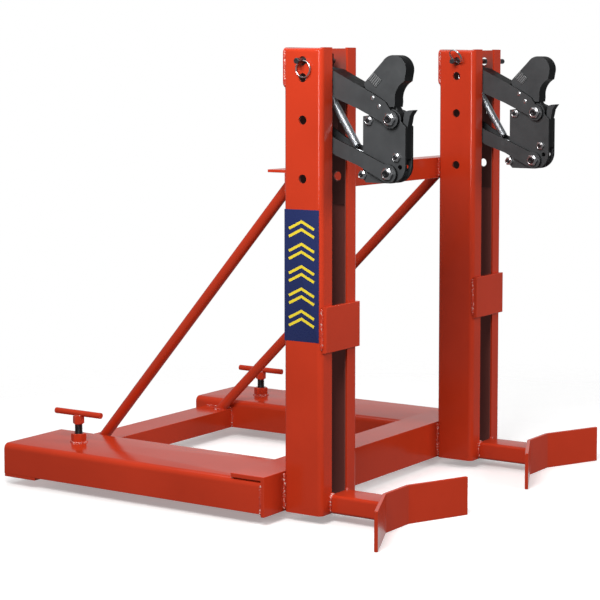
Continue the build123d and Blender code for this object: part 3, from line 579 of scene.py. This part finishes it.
def outline_bead(points, across, lift):
    """A bead round the points of a tube's end, in order about their middle; lift stands it off."""
    centre = sum(points, Vector()) / len(points)
    order = sorted(points, key=lambda p: atan2(
        getattr(p, across) - getattr(centre, across), p.x - centre.x))
    loop = []
    for p in order:
        grown = centre + (p - centre) * 1.04 + lift
        if not loop or (grown - loop[-1]).length > LOOP_GAP:
            loop.append(grown)
    return bead(loop + loop[:1], 2.6 * MM, 17)


# Struts: a bead round the foot on the rear angle, and round the head at the mast's back.
for side in SIDES:
    points = [v.co.copy() for v in nodes[f"{side}_brace_strut"].data.vertices]
    low, front = min(p.z for p in points), min(p.y for p in points)
    foot = [p for p in points if p.z < low + END_SLICE]
    head = [p for p in points if p.y < front + END_SLICE]
    weld_piece(f"{side}_weld_strut_foot", outline_bead(foot, "y", Vector((0, 0, 1.0 * MM))))
    weld_piece(f"{side}_weld_strut_head", outline_bead(head, "z", Vector((0, 1.0 * MM, 0))))


# ---- cut and bent plate: the CAD shapes with their sharp edges eased ----------------------
def soften(node, width):
    """The node's own shape with every sharp edge rounded by width in mm, standing for the node."""
    bm = bmesh.new()
    bm.from_mesh(nodes[node].data)
    bmesh.ops.remove_doubles(bm, verts=bm.verts, dist=0.004 * MM)
    bmesh.ops.dissolve_limit(bm, angle_limit=radians(0.4), verts=bm.verts, edges=bm.edges)
    mesh = bpy.data.meshes.new(node + "_eased")
    bm.to_mesh(mesh)
    bm.free()
    mesh.shade_smooth()
    mesh.set_sharp_from_angle(angle=radians(SHARP))
    mesh.materials.append(LOOK[slot_of[node]])
    made = bpy.data.objects.new(node + "_eased", mesh)
    bpy.context.scene.collection.objects.link(made)
    bevel = made.modifiers.new("eased_edges", "BEVEL")
    bevel.width = width * MM
    bevel.segments = 2
    bevel.limit_method = "ANGLE"
    bevel.angle_limit = radians(SHARP)
    bevel.harden_normals = True
    bevel.use_clamp_overlap = True
    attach(made, body_of[node])
    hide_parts(node)


# Each node's edge rounding in mm.
EASED = {"front_cross_angle": 1.2, "rear_cross_angle": 1.0, "upper_cross_angle": 1.0}
for side in SIDES:
    for part, width in (
        ("mast", 0.9), ("mast_top_plate", 1.0), ("fork_sleeve", 0.9), ("sleeve_strap", 1.0),
        ("support_arm", 0.8), ("belly_plate", 1.2), ("carriage", 0.7), ("upper_arm", 0.8),
        ("lower_arm", 0.8), ("head_plates", 0.8), ("lower_jaw", 0.8), ("beak", 1.0),
        ("clamp_bar", 1.0),
    ):
        EASED[f"{side}_{part}"] = width
for node, width in EASED.items():
    soften(node, width)


# ---- bolts, nuts, pins and screws ---------------------------------------------------------
HEX_POINTS = 72
CHAMFER_RISE = 0.577        # tangent of the 30 degrees at which corners are turned off
FACE_SHARE = 0.985          # of the flats' width that the turned face takes


def hex_reach(angle, flat):
    """How far a hexagon's outline is from its middle at an angle; flat is half its width."""
    local = (angle + pi / 6) % (pi / 3) - pi / 6
    return flat / cos(local)


def hex_rings(spin, flats, levels):
    """Rings of a hexagon whose radius is held under a cap at each (height, cap) level."""
    angles = [2 * pi * k / HEX_POINTS for k in range(HEX_POINTS)]
    return [[spin(angle, min(hex_reach(angle, flats / 2), cap), height) for angle in angles]
            for height, cap in levels]


def chamfered(flats, low, high, bottom=True):
    """Levels of a hexagon from low to high, its corners turned off above and, if bottom, below."""
    flat, corner = flats / 2, flats / sqrt(3)
    drop = (corner - flat) * CHAMFER_RISE
    steps = [(drop * k / 4, flat * FACE_SHARE + (corner - flat) * k / 4) for k in range(4)]
    levels = [(low + rise, cap) for rise, cap in steps] if bottom else [(low, corner)]
    levels += [(low + drop, corner), (high - drop, corner)]
    return levels + [(high - rise, cap) for rise, cap in steps[::-1]]


def round_rings(spin, profile, count=HEX_POINTS):
    """Round rings at each (radius, height) of a profile."""
    return [[spin(2 * pi * k / count, r, h) for k in range(count)] for r, h in profile]


def threaded(spin, radius, low, high, pitch, depth):
    """A real helical thread between two heights, as one tube of rings."""
    steps, around = 6, 40
    count = max(2, round((high - low) / pitch * steps))
    rings = []
    for i in range(count + 1):
        h = low + (high - low) * i / count
        fade = min(1.0, min(h - low, high - h) / (0.6 * pitch))
        ring = []
        for k in range(around):
            tooth = abs(2 * ((h / pitch - k / around) % 1.0) - 1)
            r = radius - depth * tooth * fade - (1 - fade) * depth * 0.5
            ring.append(spin(2 * pi * k / around, r, h))
        rings.append(ring)
    return skin(rings)


def lock_nut(name, at, axis, flats, height, bolt_r, body, look, slot):
    """Lock nut seen from its outer end: hexagon, rolled collar, dark insert and the bolt's end."""
    spin = turned(axis, at, (0, 0, 1))
    hexagon = 0.66 * height
    flat = flats / 2
    rings = hex_rings(spin, flats, chamfered(flats, 0.0, hexagon))
    rings += round_rings(spin, [
        (flat * 0.90, hexagon), (flat * 0.90, hexagon + 0.12 * height), (flat * 0.88, height * 0.90),
        (flat * 0.82, height * 0.97), (flat * 0.76, height), (flat * 0.72, height * 0.985),
        (flat * 0.71, height * 0.93)])
    piece(name, *skin(rings), look, body, slot)
    insert = round_rings(spin, [(flat * 0.715, height * 0.80), (flat * 0.715, height * 0.925),
                                (bolt_r * 1.06, height * 0.93), (bolt_r * 0.98, height * 0.88)], 48)
    piece(name + "_insert", *skin(insert), NYLON, body, slot)
    end = round_rings(spin, [(bolt_r * 0.97, height * 0.60), (bolt_r * 0.97, height * 1.04),
                             (bolt_r * 0.90, height * 1.10), (bolt_r * 0.80, height * 1.135),
                             (bolt_r * 0.55, height * 1.14), (bolt_r * 0.50, height * 1.12)], 48)
    piece(name + "_bolt_end", *skin(end), OXIDE, body, slot)


def hex_head(name, at, axis, flats, height, body, look, slot):
    """Hexagon head on a washer face, hollowed a little on top."""
    spin = turned(axis, at, (0, 0, 1))
    flat = flats / 2
    rings = round_rings(spin, [(flat * 0.92, 0.0), (flat * 0.92, 0.07 * height)])
    rings += hex_rings(spin, flats, chamfered(flats, 0.07 * height, height, bottom=False))
    rings += round_rings(spin, [(flat * 0.80, height), (flat * 0.72, height * 0.97)])
    piece(name, *skin(rings), look, body, slot)


def shank(name, start, end, radius, body, look, slot):
    """A bolt's plain shank from one end to the other."""
    way = Vector(end) - Vector(start)
    rod = round_rings(turned(way, start, (0, 0, 1)), [(radius, 0.0), (radius, way.length)], 40)
    return piece(name, *skin(rod), look, body, slot)


def through_bolts(node, body, head_height, bolt_r):
    """A bolt along X for each solid of a node: lock nut on its left end, hexagon head on its right."""
    slot = slot_of[node]
    look = LOOK[slot]
    for k, (lo, hi) in enumerate(islands(node)):
        y, z = (lo.y + hi.y) / 2, (lo.z + hi.z) / 2
        flats = hi.z - lo.z
        tag = f"{node}_{k}"
        left, right = (lo.x + head_height, y, z), (hi.x - head_height, y, z)
        lock_nut(tag + "_nut", left, (-1, 0, 0), flats, head_height, bolt_r, body, look, slot)
        hex_head(tag + "_head", right, (1, 0, 0), flats, head_height, body, look, slot)
        shank(tag + "_shank", left, right, bolt_r, body, look, slot)
    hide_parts(node)


RING_PITCH = 2.2 * MM       # between the two turns of a split ring
SPLIT_WIRE = 1.2 * MM       # the wire's radius
RING_TURNS, RING_STEPS = 2, 96
RING_START = radians(40)
PIVOT_HEAD, PIVOT_R = 10 * MM, 8 * MM
SMALL_HEAD, SMALL_R = 8 * MM, 5 * MM
THREAD_R, THREAD_PITCH, THREAD_DEPTH = 9.5 * MM, 2.54 * MM, 1.35 * MM
TIP = 5.0 * MM              # unthreaded end of the clamp screw
SCREW_HEAD = 22.0 * MM
NUT_BORE = 9.75 * MM


def ring_of(node):
    """Centre, axis and radius of a wire ring, from the spread of its points."""
    points = np.array([tuple(v.co) for v in nodes[node].data.vertices])
    centre = points.mean(axis=0)
    spread, ways = np.linalg.eigh(np.cov((points - centre).T))
    return Vector(centre), Vector(ways[:, 0]), sqrt(spread[1] + spread[2])


def beak_pins(side):
    """Plain pins with domed, peened ends."""
    domes = []
    for lo, hi in islands(f"{side}_beak_pins"):
        r = (hi.z - lo.z) / 2
        half = (hi.x - lo.x) / 2
        spin = turned((1, 0, 0), ((lo.x + hi.x) / 2, (lo.y + hi.y) / 2, (lo.z + hi.z) / 2), (0, 0, 1))
        dome = [(r * sin(a), half + r * 0.30 * (cos(a) - 0.35))
                for a in (radians(d) for d in (4, 20, 38, 55, 70, 84))]
        other_end = [(reach, -h) for reach, h in dome]
        profile = other_end + [(r, -half * 0.96), (r, half * 0.96)] + dome[::-1]
        domes.append(skin(round_rings(spin, profile, 36)))
    pins = piece(f"{side}_beak_pins_domed", *merged(domes), ZINC, f"{side}_upper_arm_set", "zinc_hardware")
    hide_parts(f"{side}_beak_pins")


def split_ring(side):
    """Two turns of round wire lying side by side, through the detent pin's cross hole."""
    at, axis, radius = ring_of(f"{side}_pin_ring")
    u = axis.cross(Vector((1, 0, 0)) if abs(axis.x) < 0.9 else Vector((0, 0, 1))).normalized()
    v = axis.cross(u)
    path = []
    last = RING_TURNS * RING_STEPS
    for i in range(last + 1):
        a = 2 * pi * i / RING_STEPS + RING_START
        off = (i / RING_STEPS - 1.0) * RING_PITCH
        path.append(at + axis * off + (u * sin(a) + v * cos(a)) * radius)
    wire = tube(path, lambda i: SPLIT_WIRE * min(1.0, 0.45 + min(i, last - i) / 5.0), sides=10)
    ring = piece(f"{side}_split_ring", *wire, ZINC, f"{side}_pin", "zinc_hardware", smooth=60)
    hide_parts(f"{side}_pin_ring")


def clamp_screw(side, at, spin):
    """Threaded stem, turned tip and hexagon head, with the bar's beads on top."""
    lo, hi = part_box(f"{side}_clamp_screw")
    bar_lo, bar_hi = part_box(f"{side}_clamp_bar")
    handle = f"{side}_clamp_handle"
    flats = (hi.x - lo.x) * sqrt(3) / 2
    seat, base = hi.z - 0.4 * MM, hi.z - SCREW_HEAD
    tip = [(5.6 * MM, lo.z), (6.5 * MM, lo.z + 0.9 * MM), (6.5 * MM, lo.z + TIP + 1 * MM)]
    stem = merged([
        threaded(spin, THREAD_R, lo.z + TIP, base + 1 * MM, THREAD_PITCH, THREAD_DEPTH),
        skin(round_rings(spin, tip, 40)),
    ])
    screw = piece(f"{side}_clamp_stem", *stem, OXIDE, handle, "screw_black", smooth=40)
    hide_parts(f"{side}_clamp_screw")
    cone = [(base, 0.62 * flats / 2), (base + 0.8 * MM, 0.72 * flats / 2)]
    head = skin(hex_rings(spin, flats, cone + chamfered(flats, base + 3.2 * MM, seat)))
    piece(f"{side}_clamp_head", *head, RED, handle, "frame_paint")
    bar_r = (bar_hi.x - bar_lo.x) / 2
    for k, way in enumerate((-1, 1)):
        run = [at + Vector((way * bar_r * 0.80, y, seat + 0.6 * MM))
               for y in (-flats * 0.40, 0.0, flats * 0.40)]
        weld_piece(f"{side}_clamp_head_weld_{k}", bead(run, 2.0 * MM, k + 3), handle)


def weld_nut(side, spin):
    """The clamp screw's nut on the sleeve, its base welded all round."""
    lo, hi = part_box(f"{side}_clamp_nut")
    flats = (hi.x - lo.x) * sqrt(3) / 2
    rings = hex_rings(spin, flats, chamfered(flats, lo.z, hi.z, bottom=False))
    rings += round_rings(spin, [(11.2 * MM, hi.z), (NUT_BORE, hi.z - 1.4 * MM), (NUT_BORE, lo.z)])
    nut = piece(f"{side}_weld_nut", *skin(rings, closed=True), RED, "frame", "frame_paint")
    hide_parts(f"{side}_clamp_nut")
    path = []
    for k in range(HEX_POINTS + 1):
        angle = 2 * pi * k / HEX_POINTS
        path.append(spin(angle, hex_reach(angle, flats / 2 * 1.03), lo.z + 0.5 * MM))
    weld_piece(f"{side}_weld_nut_bead", bead(path, 3.0 * MM, 11))


for side in SIDES:
    through_bolts(f"{side}_rear_pivot_bolts", "frame", PIVOT_HEAD, PIVOT_R)
    through_bolts(f"{side}_upper_pivot_bolt", f"{side}_upper_arm_set", PIVOT_HEAD, PIVOT_R)
    through_bolts(f"{side}_lower_pivot_bolt", f"{side}_head", PIVOT_HEAD, PIVOT_R)
    through_bolts(f"{side}_head_bolts", f"{side}_head", SMALL_HEAD, SMALL_R)
    beak_pins(side)
    split_ring(side)
    screw_lo, screw_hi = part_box(f"{side}_clamp_screw")
    screw_at = Vector(((screw_lo.x + screw_hi.x) / 2, (screw_lo.y + screw_hi.y) / 2, 0.0))
    screw_spin = turned((0, 0, 1), screw_at, (0, 1, 0))
    clamp_screw(side, screw_at, screw_spin)
    weld_nut(side, screw_spin)


# ---- springs ------------------------------------------------------------------------------
def curve_between(p0, t0, p1, t1, count):
    """Points of a smooth curve from p0 to p1 with the two tangents, without its last point."""
    made = []
    for i in range(count):
        t = i / count
        made.append(p0 * (2 * t**3 - 3 * t**2 + 1) + t0 * (t**3 - 2 * t**2 + t)
                    + p1 * (3 * t**2 - 2 * t**3) + t1 * (t**3 - t**2))
    return made


COIL_TURNS = 50.5
COIL_STEPS = 16         # points in each turn
WIRE_R = 1.3 * MM
COIL_R = 7.7 * MM
EYE_R, HOOK_R = 10.9 * MM, 6.4 * MM
EYE_TO_COIL, COIL_TO_HOOK = 26 * MM, 20 * MM
EYE_PULL, COIL_PULL = 16 * MM, 12 * MM      # tangents of the curves into the coil and out of it

for side in SIDES:
    top = joint_at[f"{side}_spring_swing"]
    foot = middle(f"{side}_spring_anchor_pin")
    along = (foot - top).normalized()
    across = Vector((1, 0, 0))
    beside = along.cross(across)
    span = (foot - top).length
    coil_start, coil_end = EYE_TO_COIL, span - COIL_TO_HOOK

    def coil(i):
        turn = i / COIL_STEPS
        a = 2 * pi * turn
        h = coil_start + (coil_end - coil_start) * turn / COIL_TURNS
        return top + along * h + (beside * cos(a) + across * sin(a)) * COIL_R

    steps = int(COIL_TURNS * COIL_STEPS)
    helix = [coil(i) for i in range(steps + 1)]
    eye = [top + (along * cos(a) + beside * sin(a)) * EYE_R
           for a in (radians(d) for d in range(-325, -39, 6))]
    hook = [foot + (beside * sin(a) - along * cos(a)) * HOOK_R
            for a in (radians(d) for d in range(40, 312, 8))]
    leave = (eye[-1] - eye[-2]).normalized() * EYE_PULL
    enter = (helix[1] - helix[0]).normalized() * COIL_PULL
    path = eye[:-1] + curve_between(eye[-1], leave, helix[0], enter, 14) + helix[:-1]
    leave = (helix[-1] - helix[-2]).normalized() * COIL_PULL
    enter = (hook[1] - hook[0]).normalized() * COIL_PULL
    path += curve_between(helix[-1], leave, hook[0], enter, 14) + hook
    wire = tube(path, WIRE_R, sides=8)
    wire = piece(f"{side}_coil_spring", *wire, SPRING, None, "spring_steel", smooth=70)
    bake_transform(wire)
    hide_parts(f"{side}_spring", f"{side}_spring_hook")


# ---- stamped pads on the beaks ------------------------------------------------------------
def slab(frame_at, u, v, w, half_u, half_v, low, high, ease):
    """A rectangular block with eased outer edges, standing from low to high along w."""
    rings = []
    for h, inset in ((low, 0.0), (high - ease, 0.0), (high - 0.3 * ease, 0.3 * ease), (high, ease)):
        a, b = half_u - inset, half_v - inset
        ring = []
        for cx, cy, start in ((1, 1, 0), (-1, 1, 90), (-1, -1, 180), (1, -1, 270)):
            for k in range(5):
                angle = radians(start + 22.5 * k)
                r = 1.2 * ease
                ring.append(frame_at + u * (cx * (a - r) + r * cos(angle))
                            + v * (cy * (b - r) + r * sin(angle)) + w * h)
        rings.append(ring)
    return skin(rings)


PAD_HALF = (13.0 * MM, 10.5 * MM)
PAD_TILT = radians(-42)
PAD_BACK, PAD_RISE = 75.5 * MM, 103.5 * MM      # of its middle, from the beak's front and foot
PAD_TOP, RIB_TOP = 2.0 * MM, 4.2 * MM
RIBS, RIB_HALF = 5, 1.25 * MM

for side in SIDES:
    lo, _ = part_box(f"{side}_beak")
    pad_at = Vector((lo.x, lo.y + PAD_BACK, lo.z + PAD_RISE))
    u = Vector((0, -cos(PAD_TILT), sin(PAD_TILT)))
    v = Vector((0, sin(PAD_TILT), cos(PAD_TILT)))
    w = Vector((-1, 0, 0))
    blocks = [slab(pad_at, u, v, w, *PAD_HALF, -0.4 * MM, PAD_TOP, 0.5 * MM)]
    for k in range(RIBS):
        shift = (k - (RIBS - 1) / 2) * 2 * PAD_HALF[0] / (RIBS + 0.4)
        blocks.append(slab(pad_at + u * shift, u, v, w, RIB_HALF, PAD_HALF[1] - 0.8 * MM,
                           1.6 * MM, RIB_TOP, 0.35 * MM))
    piece(f"{side}_beak_pad", *merged(blocks), PAD, f"{side}_upper_arm_set", "gripper_black")


# ---- label on the left mast: a plain dark plate with generic double chevrons ----------------
label_lo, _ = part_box("left_mast")
LABEL_Y, LABEL_Z = (-97 * MM, -8 * MM), (380 * MM, 667 * MM)
LABEL_OUT = 0.45 * MM
label_mid = Vector((label_lo.x, (LABEL_Y[0] + LABEL_Y[1]) / 2, (LABEL_Z[0] + LABEL_Z[1]) / 2))
label_half = ((LABEL_Y[1] - LABEL_Y[0]) / 2, (LABEL_Z[1] - LABEL_Z[0]) / 2)
forward, upward, outward = Vector((0, -1, 0)), Vector((0, 0, 1)), Vector((-1, 0, 0))
plate = slab(label_mid, forward, upward, outward, *label_half, -0.05 * MM, LABEL_OUT, 0.12 * MM)
piece("left_label", *plate, NAVY, "frame", "frame_paint")


def strip(points, width, low, high):
    """A flat mitred strip along points given as (forward, up) from the label's middle."""
    flat = [Vector(p) for p in points]
    rings = []
    for i, p in enumerate(flat):
        before = (p - flat[i - 1]).normalized() if i else (flat[1] - p).normalized()
        after = (flat[i + 1] - p).normalized() if i < len(flat) - 1 else before
        normal = Vector((-(before + after).y, (before + after).x)).normalized()
        half = width / 2 / max(0.3, normal.dot(Vector((-before.y, before.x))))
        ring = []
        for side_way, h in ((-1, low), (1, low), (1, high), (-1, high)):
            q = p + normal * half * side_way
            ring.append(label_mid + forward * q.x + upward * q.y + outward * h)
        rings.append(ring)
    return skin(rings)


CHEVRONS = 5
STRIPE = 5.89 * MM          # width of one stripe
STRIPE_DROP = 17 * MM       # of a chevron's second stripe below its first
CHEVRON_RISE = 16 * MM
LABEL_MARGIN = 12 * MM

chevrons = []
reach_u, reach_v = label_half[0] - LABEL_MARGIN, label_half[1] - LABEL_MARGIN
for k in range(CHEVRONS):
    for drop in (0.0, STRIPE_DROP):
        peak = reach_v - 14 * MM - k * (2 * reach_v - 20 * MM) / CHEVRONS - drop
        stripe = [(-reach_u, peak - CHEVRON_RISE), (0, peak), (reach_u, peak - CHEVRON_RISE)]
        chevrons.append(strip(stripe, STRIPE, LABEL_OUT * 0.6, LABEL_OUT * 1.5))
piece("left_label_marks", *merged(chevrons), YELLOW, "frame", "frame_paint")


# ---- the CAD nodes' own materials -----------------------------------------------------------
for name, slot in slot_of.items():
    looked = nodes[name]
    looked.data.materials.clear()
    looked.data.materials.append(LOOK[slot])


# ---- camera, lights and floor -------------------------------------------------------------
camera_data = bpy.data.cameras.new("camera")
camera = bpy.data.objects.new("camera", camera_data)
bpy.context.scene.collection.objects.link(camera)
bpy.context.scene.camera = camera
FOCAL_PX, FRAME_PX, SENSOR = 1865.49, 600.0, 36.0
CAMERA_AT = Vector((-3.76082, -2.26559, 0.97876))
CAMERA_YAW, CAMERA_PITCH = -0.98543, 0.07775
CAMERA_RISE = -0.15     # shift that keeps the masts' sides nearly parallel in the picture
camera_data.sensor_width = SENSOR
camera_data.lens = FOCAL_PX / FRAME_PX * SENSOR
camera_data.shift_y = CAMERA_RISE
camera_data.clip_start, camera_data.clip_end = 0.05, 100.0
camera.location = CAMERA_AT
camera.rotation_euler = (pi / 2 - CAMERA_PITCH, 0.0, CAMERA_YAW)


def area_light(name, at, target, size, power, colour=(1.0, 1.0, 1.0)):
    """A soft lamp at a point, turned to its target; power in watts."""
    data = bpy.data.lights.new(name, "AREA")
    data.shape = "RECTANGLE"
    data.size, data.size_y = size
    data.energy = power
    data.color = colour
    lamp = bpy.data.objects.new(name, data)
    bpy.context.scene.collection.objects.link(lamp)
    lamp.location = at
    lamp.visible_camera = False
    lamp.rotation_mode = "QUATERNION"
    lamp.rotation_quaternion = (Vector(target) - Vector(at)).to_track_quat("-Z", "Y")
    return lamp


area_light("key", (-2.1, -0.5, 2.1), (-0.1, 0.0, 0.9), (1.2, 1.2), 76, (1.0, 0.985, 0.97))
fill = area_light("fill", (0.9, -4.2, 2.4), (0, 0, 0.6), (2.4, 2.0), 116)
fill.visible_glossy = False
area_light("top", (0.3, 1.0, 4.0), (0, 0.3, 0.0), (3.0, 3.0), 60)

# The studio: a bright wall behind the object, dimmer towards the camera, white where it is seen.
WALL_TURN = CAMERA_YAW - radians(15)     # the wall's brightest part is a little to the right
WALL_DIM, WALL_BRIGHT = 0.22, 0.62
WALL_STARTS, WALL_FULL = 0.84, 0.978     # cosines of the angle from its brightest part
world = bpy.data.worlds.new("studio")
world.use_nodes = True
tree = world.node_tree
background = tree.nodes["Background"]
background.inputs["Color"].default_value = (1, 1, 1, 1)
ray = tree.nodes.new("ShaderNodeLightPath")
sky_place = tree.nodes.new("ShaderNodeTexCoord")
away = tree.nodes.new("ShaderNodeVectorMath")
away.operation = "DOT_PRODUCT"
away.inputs[1].default_value = (-sin(WALL_TURN), cos(WALL_TURN), 0.0)
tree.links.new(sky_place.outputs["Generated"], away.inputs[0])
wall = tree.nodes.new("ShaderNodeMapRange")
wall.inputs["From Min"].default_value = WALL_STARTS
wall.inputs["From Max"].default_value = WALL_FULL
wall.inputs["To Min"].default_value = WALL_DIM
wall.inputs["To Max"].default_value = WALL_BRIGHT
tree.links.new(away.outputs["Value"], wall.inputs["Value"])
seen = tree.nodes.new("ShaderNodeMix")
seen.inputs[3].default_value = 1.0
tree.links.new(ray.outputs["Is Camera Ray"], seen.inputs[0])
tree.links.new(wall.outputs["Result"], seen.inputs[2])
tree.links.new(seen.outputs[0], background.inputs["Strength"])
bpy.context.scene.world = world
bpy.context.scene.view_settings.view_transform = "Standard"

FADE_START, FADE_END = 0.7, 1.9     # where the floor thins out into the white around it
FLOOR_HALF = 30.0
FLOOR_GLOW = 0.30
floor_z = cad_lo.z - 0.2 * MM
floor_mesh = bpy.data.meshes.new("floor")
corners = [(x * FLOOR_HALF, y * FLOOR_HALF, floor_z) for x, y in ((-1, -1), (1, -1), (1, 1), (-1, 1))]
floor_mesh.from_pydata(corners, [], [(0, 1, 2, 3)])
floor = bpy.data.objects.new("floor", floor_mesh)
bpy.context.scene.collection.objects.link(floor)
n = Nodes("pale_floor")
shade = n.span(n.noise(1.2, 3.0), 0.3, 0.7, 0.0, 1.0)
n.set(Base_Color=n.blend(shade, (0.86, 0.86, 0.86), (0.90, 0.90, 0.90)), Roughness=0.6)
n.set(Emission_Color=(1.0, 1.0, 1.0), Emission_Strength=FLOOR_GLOW)
away_from_middle = n.add("ShaderNodeVectorMath", operation="LENGTH")
n.tree.links.new(n.place, away_from_middle.inputs[0])
n.set(Alpha=n.span(away_from_middle.outputs["Value"], FADE_START, FADE_END, 1.0, 0.0))
floor_mesh.materials.append(n.material)
floor.visible_glossy = False
floor.visible_diffuse = False
